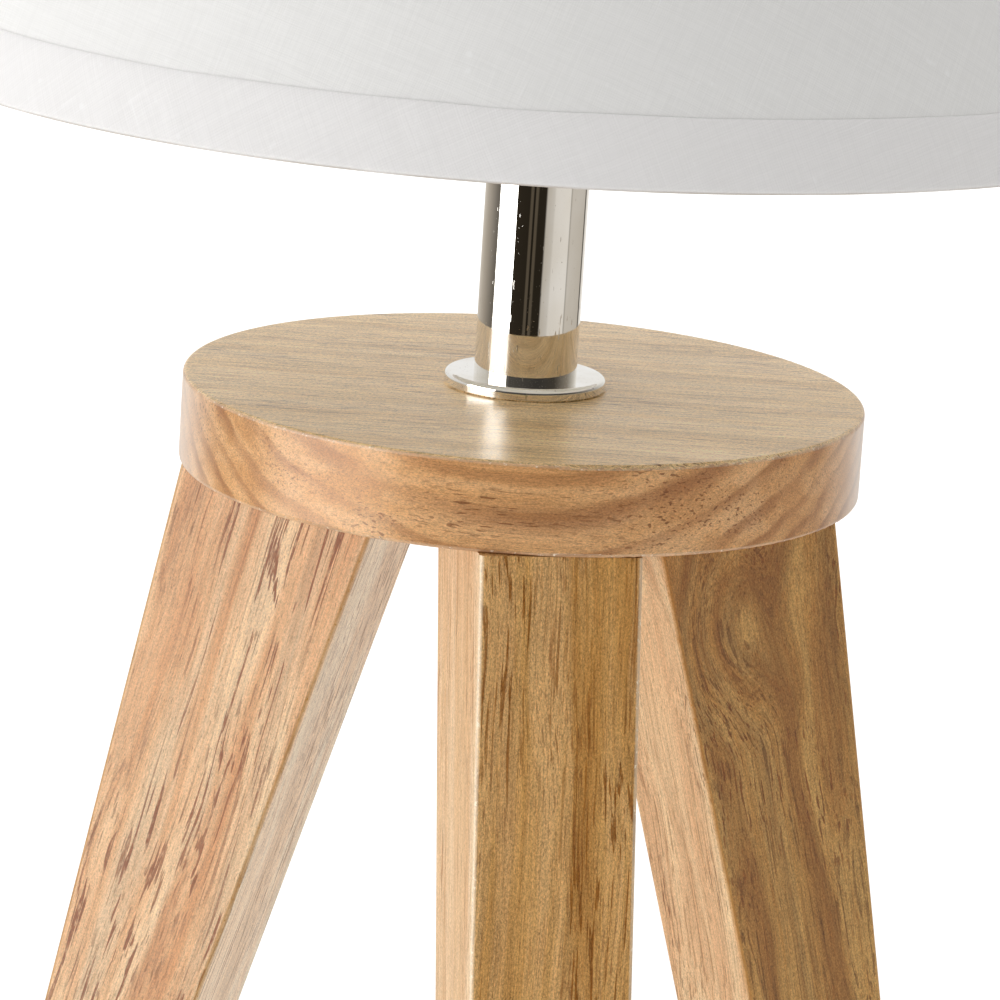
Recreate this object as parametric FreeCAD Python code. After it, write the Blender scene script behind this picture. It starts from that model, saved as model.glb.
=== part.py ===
"""Tripod lamp with three tapered wooden legs under a round hub, a metal stem and a conical fabric shade.

Millimetres, +Z up. The origin is on the floor, on the lamp's vertical axis. The front leg points along -Y.
Each node is one sub-part and is written to parts/NODE.step.
"""
import FreeCAD
import Part
import math
import os
from FreeCAD import Placement, Rotation, Vector

# --- Driving dimensions -------------------------------------------------------------------------
LAMP_AXIS = Vector(0, 0, 1)
ORIGIN = Vector(0, 0, 0)

# Round hub
HUB_RADIUS = 53.0
HUB_THICKNESS = 14.0
HUB_TOP = 205.0
HUB_UNDERSIDE = HUB_TOP - HUB_THICKNESS
HUB_ARRIS = 0.7
HUB_BORE_RADIUS = 5.3

# Legs: rectangular section, straight sides, deeper at the top than at the foot.
# Each is tightened by hand on one bolt, so each sits twisted a few degrees about that bolt.
LEG_AZIMUTHS = {"leg_front": -90.0, "leg_right": 30.0, "leg_left": 150.0}
LEG_TWISTS = {"leg_front": 6.0, "leg_right": -3.0, "leg_left": 5.0}
LEG_WIDTH = 24.5
LEG_TOP_INNER = 17.2
LEG_TOP_OUTER = 52.5
LEG_INNER_SLOPE = 0.309
LEG_OUTER_SLOPE = 0.207
LEG_ARRIS = 0.8
PAD_THICKNESS = 2.0
PAD_RADIUS = 6.2

# Leg fixing: one bolt per leg, upright, into an insert in the hub's underside
BOLT_RADIUS = 3.0
BOLT_CIRCLE_RADIUS = (LEG_TOP_INNER + LEG_TOP_OUTER) / 2
BOLT_DEPTH_IN_LEG = 30.0
BOLT_HEIGHT_IN_HUB = 8.5
INSERT_RADIUS = 5.0
INSERT_FLANGE_RADIUS = 6.5
INSERT_FLANGE_THICKNESS = 0.8
INSERT_LENGTH = 10.0
SEAT_GAP = 0.05

# Stem
FLANGE_RADIUS = 12.6
FLANGE_THICKNESS = 2.0
FLANGE_EDGE_ROUND = 0.85
TUBE_RADIUS = 8.0
TUBE_WALL = 0.9
TUBE_TOP = 268.0
PIPE_RADIUS = 5.0
PIPE_BORE_RADIUS = 3.5
PIPE_TOP = 274.0
PIPE_BOTTOM = 180.5
WASHER_RADIUS = 10.0
WASHER_THICKNESS = 1.2
LOCK_WASHER_RADIUS = 8.2
LOCK_WASHER_THICKNESS = 1.0
NUT_ACROSS_FLATS = 14.0
NUT_THICKNESS = 3.5
BUSH_RADIUS = 8.0
BUSH_BORE_RADIUS = 3.3
BUSH_LENGTH = 8.5
BUSH_LIP = 4.5

# Lampholder
HOLDER_BOTTOM = TUBE_TOP
HOLDER_RADIUS = 14.6
HOLDER_WALL = 1.5
HOLDER_NECK_RADIUS = 9.4
HOLDER_NECK_HEIGHT = 5.0
HOLDER_SPLIT = 285.0
SHOULDER_BOTTOM = 290.0
SHOULDER_TOP = 292.0
SHOULDER_RADIUS = 17.6
SHELL_RADIUS = 13.9
SHELL_TOP = 318.0
INSERT_BODY_RADIUS = 12.2
INSERT_BODY_BOTTOM = 278.6
INSERT_FLOOR = 289.0
INSERT_TOP = 316.8
SLEEVE_RADIUS = 8.2
SLEEVE_BORE_RADIUS = 7.35
SLEEVE_TOP = 315.0
GRUB_RADIUS = 1.5
TERMINAL_OFFSET = 7.6
TERMINAL_RADIUS = 1.5
TERMINAL_HEAD_RADIUS = 2.6

# Ring that clamps the shade on the lampholder
RING_BORE_RADIUS = 14.25
RING_GRIP_RADIUS = 18.2
RING_FLANGE_RADIUS = 20.0
RING_HEIGHT = 8.0
RING_FLANGE_HEIGHT = 2.0
RING_SCALLOPS = 12
MOVING_GAP = 0.3

# Bulb with a screw cap
BULB_TIP = 290.8
CAP_BOTTOM = 294.6
CAP_TOP = 318.8
CAP_RADIUS = 6.95
CAP_PITCH = 2.82
CAP_THREAD_DEPTH = 0.5
CAP_THREADS = 6
HOUSING_TOP = 346.0
HOUSING_TOP_RADIUS = 21.0
GLOBE_RADIUS = 22.5
GLOBE_CENTRE = 353.0
GLOBE_WALL = 1.0

# Conical shade
SHADE_BOTTOM = 255.0
SHADE_HEIGHT = 150.0
SHADE_TOP = SHADE_BOTTOM + SHADE_HEIGHT
SHADE_BOTTOM_RADIUS = 100.0
SHADE_TOP_RADIUS = 50.0
SHADE_SLOPE = (SHADE_BOTTOM_RADIUS - SHADE_TOP_RADIUS) / SHADE_HEIGHT
FABRIC_THICKNESS = 0.5
LAYER_GAP = 0.1
LINER_THICKNESS = 0.8
WIRE_RADIUS = 1.5
HEM_HEIGHT = 9.5
HEM_THICKNESS = 0.5
HEM_INNER_HEIGHT = 6.0
SEAM_WIDTH = 10.0
SEAM_THICKNESS = 0.4
SEAM_AZIMUTH = 90.0
ARM_RADIUS = 1.25
ARM_AZIMUTHS = (60.0, 180.0, 300.0)
FITTER_THICKNESS = 1.2
FITTER_RADIUS = 22.0
FITTER_BORE_RADIUS = 14.3

# --- Heights and radii that follow from them ----------------------------------------------------
FLANGE_TOP = HUB_TOP + FLANGE_THICKNESS
WASHER_BOTTOM = HUB_UNDERSIDE - WASHER_THICKNESS
LOCK_WASHER_BOTTOM = WASHER_BOTTOM - LOCK_WASHER_THICKNESS
NUT_BOTTOM = LOCK_WASHER_BOTTOM - NUT_THICKNESS
FITTER_BOTTOM = SHOULDER_TOP + MOVING_GAP
FITTER_TOP = FITTER_BOTTOM + FITTER_THICKNESS
RING_BOTTOM = FITTER_TOP + MOVING_GAP
LINER_OFFSET = FABRIC_THICKNESS + LAYER_GAP
LINER_INNER_OFFSET = LINER_OFFSET + LINER_THICKNESS
RING_WIRE_CLEARANCE = 0.2


# --- Helpers ------------------------------------------------------------------------------------
def polar(radius, azimuth, height):
    """A point at a radius from the lamp's axis, an azimuth in degrees and a height."""
    angle = math.radians(azimuth)
    return Vector(radius * math.cos(angle), radius * math.sin(angle), height)


def cylinder(radius, bottom, top, centre=ORIGIN):
    """An upright cylinder between two heights."""
    return Part.makeCylinder(radius, top - bottom, Vector(centre.x, centre.y, bottom), LAMP_AXIS)


def tube(outer, inner, bottom, top, centre=ORIGIN):
    """An upright tube between two heights."""
    return cylinder(outer, bottom, top, centre).cut(cylinder(inner, bottom, top, centre))


def turned(points, arcs=None):
    """A solid of revolution. points are (radius, height); arcs maps a side's index to its mid point."""
    arcs = arcs or {}
    edges = []
    for index, start in enumerate(points):
        end = points[(index + 1) % len(points)]
        first = Vector(start[0], 0, start[1])
        last = Vector(end[0], 0, end[1])
        if index in arcs:
            middle = Vector(arcs[index][0], 0, arcs[index][1])
            edges.append(Part.Arc(first, middle, last).toShape())
        else:
            edges.append(Part.LineSegment(first, last).toShape())
    face = Part.Face(Part.Wire(edges))
    return face.revolve(ORIGIN, LAMP_AXIS, 360)


def rotated(shape, azimuth):
    """A copy turned about the lamp's axis."""
    copy = shape.copy()
    copy.Placement = Placement(ORIGIN, Rotation(LAMP_AXIS, azimuth)).multiply(copy.Placement)
    return copy


def group(shapes):
    """Several separate solids in one node."""
    return Part.makeCompound(shapes)


def shade_radius(height):
    """The shade's outer radius at a height."""
    return SHADE_BOTTOM_RADIUS - SHADE_SLOPE * (height - SHADE_BOTTOM)


def place_leg(shape, leg):
    """Twists a shape modelled in the X-Z plane about a leg's bolt, then turns it to the leg's azimuth."""
    bolt_foot = Vector(BOLT_CIRCLE_RADIUS, 0, 0)
    twisted = shape.copy()
    twisted.rotate(bolt_foot, LAMP_AXIS, LEG_TWISTS[leg])
    return rotated(twisted, LEG_AZIMUTHS[leg])


def leg_centre_radius(height):
    """The radius of an untwisted leg's centre line at a height."""
    drop = HUB_UNDERSIDE - height
    mean_slope = (LEG_INNER_SLOPE + LEG_OUTER_SLOPE) / 2
    return BOLT_CIRCLE_RADIUS + mean_slope * drop


# --- Hub, legs and their fixings ----------------------------------------------------------------
def make_hub():
    body = cylinder(HUB_RADIUS, HUB_UNDERSIDE, HUB_TOP)
    rims = [edge for edge in body.Edges if edge.Curve.TypeId == "Part::GeomCircle"]
    body = body.makeFillet(HUB_ARRIS, rims)
    body = body.cut(cylinder(HUB_BORE_RADIUS, HUB_UNDERSIDE, HUB_TOP))
    for azimuth in LEG_AZIMUTHS.values():
        centre = polar(BOLT_CIRCLE_RADIUS, azimuth, 0)
        insert_top = HUB_UNDERSIDE + INSERT_LENGTH + SEAT_GAP
        body = body.cut(cylinder(INSERT_RADIUS + SEAT_GAP, HUB_UNDERSIDE, insert_top, centre))
        flange_top = HUB_UNDERSIDE + INSERT_FLANGE_THICKNESS + SEAT_GAP
        body = body.cut(cylinder(INSERT_FLANGE_RADIUS + SEAT_GAP, HUB_UNDERSIDE, flange_top, centre))
    return body


def make_leg(leg):
    """One leg: its top is cut level under the hub, its foot is cut level over the pad."""
    drop = HUB_UNDERSIDE - PAD_THICKNESS
    outline = [
        Vector(LEG_TOP_INNER, 0, HUB_UNDERSIDE),
        Vector(LEG_TOP_OUTER, 0, HUB_UNDERSIDE),
        Vector(LEG_TOP_OUTER + LEG_OUTER_SLOPE * drop, 0, PAD_THICKNESS),
        Vector(LEG_TOP_INNER + LEG_INNER_SLOPE * drop, 0, PAD_THICKNESS),
    ]
    side = Part.Face(Part.makePolygon(outline + outline[:1]))
    side.translate(Vector(0, -LEG_WIDTH / 2, 0))
    blank = side.extrude(Vector(0, LEG_WIDTH, 0))
    long_edges = [edge for edge in blank.Edges if edge.Length > drop * 0.9]
    blank = blank.makeFillet(LEG_ARRIS, long_edges)
    centre = Vector(BOLT_CIRCLE_RADIUS, 0, 0)
    bolt_hole_bottom = HUB_UNDERSIDE - BOLT_DEPTH_IN_LEG - SEAT_GAP
    blank = blank.cut(cylinder(BOLT_RADIUS + SEAT_GAP, bolt_hole_bottom, HUB_UNDERSIDE, centre))
    return place_leg(blank, leg)


def make_hanger_bolts():
    """Double-ended bolts: a pointed wood end in the leg, a machine end in the hub's insert."""
    point_height = 4.0
    bottom = HUB_UNDERSIDE - BOLT_DEPTH_IN_LEG
    top = HUB_UNDERSIDE + BOLT_HEIGHT_IN_HUB
    profile = [
        (0, bottom),
        (0.6, bottom),
        (BOLT_RADIUS, bottom + point_height),
        (BOLT_RADIUS, top - 0.6),
        (BOLT_RADIUS - 0.6, top),
        (0, top),
    ]
    bolts = []
    for azimuth in LEG_AZIMUTHS.values():
        bolt = turned(profile)
        bolt.translate(polar(BOLT_CIRCLE_RADIUS, azimuth, 0))
        bolts.append(bolt)
    return group(bolts)


def make_threaded_inserts():
    inserts = []
    top = HUB_UNDERSIDE + INSERT_LENGTH
    for azimuth in LEG_AZIMUTHS.values():
        centre = polar(BOLT_CIRCLE_RADIUS, azimuth, 0)
        barrel = cylinder(INSERT_RADIUS, HUB_UNDERSIDE, top, centre)
        flange_top = HUB_UNDERSIDE + INSERT_FLANGE_THICKNESS
        barrel = barrel.fuse(cylinder(INSERT_FLANGE_RADIUS, HUB_UNDERSIDE, flange_top, centre))
        bore = cylinder(BOLT_RADIUS + SEAT_GAP, HUB_UNDERSIDE, top, centre)
        inserts.append(barrel.cut(bore).removeSplitter())
    return group(inserts)


def make_foot_pads():
    pad = cylinder(PAD_RADIUS, 0, PAD_THICKNESS, Vector(leg_centre_radius(PAD_THICKNESS), 0, 0))
    return group([place_leg(pad, leg) for leg in LEG_AZIMUTHS])


# --- Stem and the clamp under the hub -----------------------------------------------------------
def make_base_flange():
    """A flat rosette with a rounded rim, which the tube stands on."""
    edge = FLANGE_EDGE_ROUND
    bevel = 0.25
    corner = edge * (1 - math.sqrt(0.5))
    profile = [
        (HUB_BORE_RADIUS, HUB_TOP),
        (FLANGE_RADIUS - bevel, HUB_TOP),
        (FLANGE_RADIUS, HUB_TOP + bevel),
        (FLANGE_RADIUS, FLANGE_TOP - edge),
        (FLANGE_RADIUS - edge, FLANGE_TOP),
        (HUB_BORE_RADIUS, FLANGE_TOP),
    ]
    return turned(profile, {3: (FLANGE_RADIUS - corner, FLANGE_TOP - corner)})


def make_stem_tube():
    return tube(TUBE_RADIUS, TUBE_RADIUS - TUBE_WALL, FLANGE_TOP, TUBE_TOP)


def make_threaded_pipe():
    return tube(PIPE_RADIUS, PIPE_BORE_RADIUS, PIPE_BOTTOM, PIPE_TOP)


def make_pipe_washer():
    return tube(WASHER_RADIUS, PIPE_RADIUS + SEAT_GAP, WASHER_BOTTOM, HUB_UNDERSIDE)


def make_lock_washer():
    """A ring with one slanting split."""
    ring = tube(LOCK_WASHER_RADIUS, PIPE_RADIUS + SEAT_GAP, LOCK_WASHER_BOTTOM, WASHER_BOTTOM)
    split_width = 0.8
    height = LOCK_WASHER_THICKNESS * 3
    corner = Vector(0, -split_width / 2, -height / 2)
    split = Part.makeBox(LOCK_WASHER_RADIUS * 2, split_width, height, corner)
    split.rotate(ORIGIN, Vector(1, 0, 0), 30)
    split.translate(Vector(0, 0, LOCK_WASHER_BOTTOM + LOCK_WASHER_THICKNESS / 2))
    return ring.cut(split)


def make_pipe_nut():
    corner_radius = NUT_ACROSS_FLATS / 2 / math.cos(math.radians(30))
    corners = [polar(corner_radius, 60 * step, NUT_BOTTOM) for step in range(7)]
    prism = Part.Face(Part.makePolygon(corners)).extrude(Vector(0, 0, NUT_THICKNESS))
    chamfer = 0.5
    top = NUT_BOTTOM + NUT_THICKNESS
    dome = turned([
        (0, NUT_BOTTOM),
        (corner_radius - 2 * chamfer, NUT_BOTTOM),
        (corner_radius, NUT_BOTTOM + chamfer),
        (corner_radius, top - chamfer),
        (corner_radius - 2 * chamfer, top),
        (0, top),
    ])
    return prism.common(dome).cut(cylinder(PIPE_RADIUS + SEAT_GAP, NUT_BOTTOM, top))


def make_cord_bush():
    """A screwed plastic bush on the pipe's lower end, with a rounded mouth for the cord."""
    top = PIPE_BOTTOM + BUSH_LENGTH - BUSH_LIP
    top = min(top, NUT_BOTTOM - 0.2)
    bottom = PIPE_BOTTOM - BUSH_LIP
    mouth = 1.0
    rim = 1.2
    profile = [
        (BUSH_BORE_RADIUS, PIPE_BOTTOM - SEAT_GAP),
        (PIPE_RADIUS + SEAT_GAP, PIPE_BOTTOM - SEAT_GAP),
        (PIPE_RADIUS + SEAT_GAP, top),
        (BUSH_RADIUS, top),
        (BUSH_RADIUS, bottom + rim),
        (BUSH_RADIUS - rim, bottom),
        (BUSH_BORE_RADIUS + mouth, bottom),
        (BUSH_BORE_RADIUS, bottom + mouth),
    ]
    corner = 1 - math.sqrt(0.5)
    rim_middle = (BUSH_RADIUS - rim * corner, bottom + rim * corner)
    mouth_middle = (BUSH_BORE_RADIUS + mouth * corner, bottom + mouth * corner)
    return turned(profile, {4: rim_middle, 6: mouth_middle})


# --- Lampholder ---------------------------------------------------------------------------------
def make_holder_cap():
    """A bell-shaped cap with a thick neck, which screws on the pipe."""
    neck_top = HOLDER_BOTTOM + HOLDER_NECK_HEIGHT
    inner = HOLDER_RADIUS - HOLDER_WALL
    profile = [
        (PIPE_RADIUS + SEAT_GAP, HOLDER_BOTTOM),
        (HOLDER_NECK_RADIUS - 1.0, HOLDER_BOTTOM),
        (HOLDER_NECK_RADIUS, HOLDER_BOTTOM + 1.0),
        (HOLDER_NECK_RADIUS, neck_top - 1.0),
        (HOLDER_RADIUS, neck_top + 5.0),
        (HOLDER_RADIUS, HOLDER_SPLIT),
        (inner, HOLDER_SPLIT),
        (inner, neck_top + 5.0),
        (HOLDER_NECK_RADIUS, neck_top),
        (PIPE_RADIUS + SEAT_GAP, neck_top),
    ]
    shoulder = (HOLDER_RADIUS - 1.3, neck_top + 1.0)
    hollow = (inner - 1.1, neck_top + 1.9)
    cap = turned(profile, {3: shoulder, 7: hollow})
    hole = Part.makeCylinder(GRUB_RADIUS + SEAT_GAP, HOLDER_RADIUS, grub_origin(), Vector(0, -1, 0))
    return cap.cut(hole)


def grub_origin():
    """The point on the lamp's axis that the grub screw aims at."""
    return Vector(0, 0, HOLDER_BOTTOM + HOLDER_NECK_HEIGHT / 2)


def make_holder_grub_screw():
    length = HOLDER_NECK_RADIUS - PIPE_RADIUS - 0.5
    start = grub_origin() + Vector(0, -(PIPE_RADIUS + SEAT_GAP), 0)
    screw = Part.makeCylinder(GRUB_RADIUS, length, start, Vector(0, -1, 0))
    slot_depth = 0.8
    slot_width = 0.5
    slot_corner = Vector(-GRUB_RADIUS, start.y - length, start.z - slot_width / 2)
    slot = Part.makeBox(GRUB_RADIUS * 2, slot_depth, slot_width, slot_corner)
    return screw.cut(slot)


def make_holder_shell():
    """A skirt, a shoulder that the shade's fitter rests on, and the barrel that the ring screws on."""
    inner = SHELL_RADIUS - HOLDER_WALL + 0.1
    bevel = 0.6
    return turned([
        (inner, HOLDER_SPLIT),
        (HOLDER_RADIUS, HOLDER_SPLIT),
        (HOLDER_RADIUS, SHOULDER_BOTTOM),
        (SHOULDER_RADIUS, SHOULDER_BOTTOM + 0.4),
        (SHOULDER_RADIUS, SHOULDER_TOP),
        (SHELL_RADIUS, SHOULDER_TOP),
        (SHELL_RADIUS, SHELL_TOP - bevel),
        (SHELL_RADIUS - bevel, SHELL_TOP),
        (inner, SHELL_TOP),
    ])


def make_holder_insert():
    """The ceramic core: a floor with two terminal holes, and a wall round the contact sleeve."""
    body = cylinder(INSERT_BODY_RADIUS, INSERT_BODY_BOTTOM, INSERT_TOP)
    body = body.cut(cylinder(SLEEVE_RADIUS + SEAT_GAP, INSERT_FLOOR, INSERT_TOP))
    hole_top = INSERT_FLOOR - 1.5
    for side in (-1, 1):
        centre = Vector(side * TERMINAL_OFFSET, 0, 0)
        body = body.cut(cylinder(TERMINAL_RADIUS + SEAT_GAP, INSERT_BODY_BOTTOM, hole_top, centre))
    return body


def make_contact_sleeve():
    return tube(SLEEVE_RADIUS, SLEEVE_BORE_RADIUS, INSERT_FLOOR, SLEEVE_TOP)


def make_centre_contact():
    """A spring tongue: a flat foot on the core's floor and a raised end under the bulb's tip."""
    thickness = 0.4
    width = 4.0
    tip_gap = 0.3
    tongue_top = BULB_TIP - tip_gap
    outline = [
        Vector(-6.0, 0, INSERT_FLOOR),
        Vector(-3.0, 0, INSERT_FLOOR),
        Vector(-1.6, 0, tongue_top - thickness),
        Vector(2.2, 0, tongue_top - thickness),
        Vector(2.2, 0, tongue_top),
        Vector(-1.8, 0, tongue_top),
        Vector(-3.2, 0, INSERT_FLOOR + thickness),
        Vector(-6.0, 0, INSERT_FLOOR + thickness),
    ]
    face = Part.Face(Part.makePolygon(outline + outline[:1]))
    face.translate(Vector(0, -width / 2, 0))
    return face.extrude(Vector(0, width, 0))


def make_terminal_screws():
    head_height = 1.8
    shank_top = INSERT_FLOOR - 2.0
    screws = []
    for side in (-1, 1):
        centre = Vector(side * TERMINAL_OFFSET, 0, 0)
        head = cylinder(TERMINAL_HEAD_RADIUS, INSERT_BODY_BOTTOM - head_height, INSERT_BODY_BOTTOM, centre)
        shank = cylinder(TERMINAL_RADIUS, INSERT_BODY_BOTTOM, shank_top, centre)
        screws.append(head.fuse(shank))
    return group(screws)


def make_shade_ring():
    """A ring with a flange below and a scalloped grip above."""
    top = RING_BOTTOM + RING_HEIGHT
    flange_top = RING_BOTTOM + RING_FLANGE_HEIGHT
    ring = turned([
        (RING_BORE_RADIUS, RING_BOTTOM),
        (RING_FLANGE_RADIUS, RING_BOTTOM),
        (RING_FLANGE_RADIUS, flange_top - 0.5),
        (RING_FLANGE_RADIUS - 0.5, flange_top),
        (RING_GRIP_RADIUS, flange_top),
        (RING_GRIP_RADIUS, top - 0.8),
        (RING_GRIP_RADIUS - 0.8, top),
        (RING_BORE_RADIUS, top),
    ])
    scallop_radius = 1.6
    for step in range(RING_SCALLOPS):
        centre = polar(RING_GRIP_RADIUS + 0.6, 360 * step / RING_SCALLOPS, 0)
        ring = ring.cut(cylinder(scallop_radius, flange_top, top + 1, centre))
    return ring


# --- Bulb ---------------------------------------------------------------------------------------
def make_bulb_cap():
    """The screw cap. Its thread is drawn as rounded rings at the thread's pitch."""
    points = [(CAP_RADIUS - 1.2, CAP_BOTTOM), (CAP_RADIUS - CAP_THREAD_DEPTH, CAP_BOTTOM + 0.6)]
    arcs = {}
    thread_start = CAP_BOTTOM + 1.2
    root = CAP_RADIUS - CAP_THREAD_DEPTH
    points.append((root, thread_start))
    for turn in range(CAP_THREADS):
        base = thread_start + turn * CAP_PITCH
        arcs[len(points) - 1] = (CAP_RADIUS, base + CAP_PITCH / 2)
        points.append((root, base + CAP_PITCH))
    points.append((root, CAP_TOP))
    wall = 0.4
    points.append((root - wall, CAP_TOP))
    points.append((root - wall, CAP_BOTTOM + 1.2))
    points.append((CAP_RADIUS - 1.6, CAP_BOTTOM + 0.6))
    points.append((CAP_RADIUS - 1.6, CAP_BOTTOM))
    return turned(points, arcs)


def make_bulb_insulator():
    """The glass cone between the screw cap and the tip."""
    tip_top = BULB_TIP + 1.2
    return turned([
        (0, tip_top),
        (2.6, tip_top),
        (CAP_RADIUS - 1.6 - SEAT_GAP, CAP_BOTTOM),
        (CAP_RADIUS - 1.6 - SEAT_GAP, CAP_BOTTOM + 0.6),
        (0, CAP_BOTTOM + 0.6),
    ])


def make_bulb_contact():
    tip_top = BULB_TIP + 1.2
    return turned(
        [(0, BULB_TIP), (2.4, tip_top), (0, tip_top)],
        {0: (1.6, BULB_TIP + 0.45)},
    )


def make_bulb_housing():
    """The plastic cone that carries the globe."""
    wall = 1.4
    inner_bottom = CAP_TOP + 2.4
    neck = 6.0
    profile = [
        (0, CAP_TOP),
        (8.6, CAP_TOP),
        (9.4, CAP_TOP + 1.0),
        (HOUSING_TOP_RADIUS, HOUSING_TOP - 3.0),
        (HOUSING_TOP_RADIUS, HOUSING_TOP),
        (HOUSING_TOP_RADIUS - wall, HOUSING_TOP),
        (HOUSING_TOP_RADIUS - wall, HOUSING_TOP - 3.0),
        (neck, inner_bottom),
        (0, inner_bottom),
    ]
    flare = (13.6, CAP_TOP + 12.0)
    inner_flare = (11.6, CAP_TOP + 12.4)
    return turned(profile, {2: flare, 6: inner_flare})


def make_bulb_led_board():
    """A round board on the housing's rim, with a ring of small light chips."""
    board_radius = HOUSING_TOP_RADIUS - 1.6
    board_top = HOUSING_TOP - 0.4
    board = cylinder(board_radius, board_top - 1.2, board_top)
    chip = 2.8
    chip_height = 0.6
    for step in range(8):
        spot = polar(board_radius * 0.6, 45 * step, board_top)
        corner = Vector(spot.x - chip / 2, spot.y - chip / 2, board_top)
        board = board.fuse(Part.makeBox(chip, chip, chip_height, corner))
    return board


def make_bulb_globe():
    """A hollow globe, open below, whose rim stands on the housing."""
    rise = HOUSING_TOP - GLOBE_CENTRE
    inner_radius = GLOBE_RADIUS - GLOBE_WALL
    outer_rim = math.sqrt(GLOBE_RADIUS ** 2 - rise ** 2)
    inner_rim = math.sqrt(inner_radius ** 2 - rise ** 2)
    profile = [
        (inner_rim, HOUSING_TOP),
        (outer_rim, HOUSING_TOP),
        (0, GLOBE_CENTRE + GLOBE_RADIUS),
        (0, GLOBE_CENTRE + inner_radius),
    ]
    half = math.sqrt(0.5)
    outer_middle = (GLOBE_RADIUS * half, GLOBE_CENTRE + GLOBE_RADIUS * half)
    inner_middle = (inner_radius * half, GLOBE_CENTRE + inner_radius * half)
    return turned(profile, {1: outer_middle, 3: inner_middle})


# --- Shade --------------------------------------------------------------------------------------
def make_cone_wall(outer_offset, inner_offset, bottom=SHADE_BOTTOM, top=SHADE_TOP):
    """A conical wall between two horizontal offsets inward from the shade's outer face."""
    return turned([
        (shade_radius(bottom) - inner_offset, bottom),
        (shade_radius(bottom) - outer_offset, bottom),
        (shade_radius(top) - outer_offset, top),
        (shade_radius(top) - inner_offset, top),
    ])


def wire_ring_radius(height):
    """The radius of a wire ring's centre line where it lies against the liner."""
    return shade_radius(height) - LINER_INNER_OFFSET - WIRE_RADIUS * 1.06 - RING_WIRE_CLEARANCE


def make_wire_ring(height):
    return Part.makeTorus(wire_ring_radius(height), WIRE_RADIUS, Vector(0, 0, height), LAMP_AXIS)


def lower_ring_height():
    return SHADE_BOTTOM + WIRE_RADIUS + 0.2


def upper_ring_height():
    return SHADE_TOP - WIRE_RADIUS - 0.2


def make_hem(edge, ring_height, upward):
    """Tape folded over a rim: up the outside by the hem's height, round the wire ring and back inside.

    edge is the rim's height and upward is 1 when the shade lies above it, or -1 when it lies below.
    """
    outer_end = edge + upward * HEM_HEIGHT
    inner_end = edge + upward * HEM_INNER_HEIGHT
    fold = edge - upward * HEM_THICKNESS
    inside = wire_ring_radius(ring_height) - WIRE_RADIUS - RING_WIRE_CLEARANCE
    lean = -SHADE_SLOPE * (inner_end - ring_height)
    profile = [
        (shade_radius(edge) + LAYER_GAP, edge),
        (shade_radius(outer_end) + LAYER_GAP, outer_end),
        (shade_radius(outer_end) + LAYER_GAP + HEM_THICKNESS, outer_end),
        (shade_radius(edge) + LAYER_GAP + HEM_THICKNESS, edge),
        (shade_radius(edge) + LAYER_GAP, fold),
        (inside, fold),
        (inside - HEM_THICKNESS, edge),
        (inside - HEM_THICKNESS + min(lean, 0), inner_end),
        (inside + min(lean, 0), inner_end),
        (inside, edge),
    ]
    return turned(profile)


def make_lower_hem():
    """The lower rim's tape, notched where the fitter's arms reach the wire ring."""
    hem = make_hem(SHADE_BOTTOM, lower_ring_height(), 1)
    for azimuth in ARM_AZIMUTHS:
        hem = hem.cut(make_arm(azimuth, ARM_RADIUS + LAYER_GAP))
    return hem


def make_shade_seam():
    """A strip of doubled fabric down the outside of the shade, between the two hems."""
    bottom = SHADE_BOTTOM + HEM_HEIGHT + 0.2
    top = SHADE_TOP - HEM_HEIGHT - 0.2
    offset = -LAYER_GAP
    band = make_cone_wall(offset - SEAM_THICKNESS, offset, bottom, top)
    reach = SHADE_BOTTOM_RADIUS + 10
    corner = Vector(0, -SEAM_WIDTH / 2, bottom)
    window = Part.makeBox(reach, SEAM_WIDTH, top - bottom, corner)
    return rotated(band.common(window), SEAM_AZIMUTH)


def make_fitter_ring():
    return tube(FITTER_RADIUS, FITTER_BORE_RADIUS, FITTER_BOTTOM, FITTER_TOP)


def make_arm(azimuth, radius):
    """A straight rod from the fitter ring out and down to the lower wire ring."""
    weld = 0.8
    inner_height = FITTER_BOTTOM + FITTER_THICKNESS / 2
    outer_height = lower_ring_height() + WIRE_RADIUS
    start = polar(FITTER_RADIUS - weld, azimuth, inner_height)
    end = polar(wire_ring_radius(lower_ring_height()), azimuth, outer_height)
    direction = end - start
    return Part.makeCylinder(radius, direction.Length, start, direction)


def make_fitter_arms():
    return group([make_arm(azimuth, ARM_RADIUS) for azimuth in ARM_AZIMUTHS])


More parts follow.
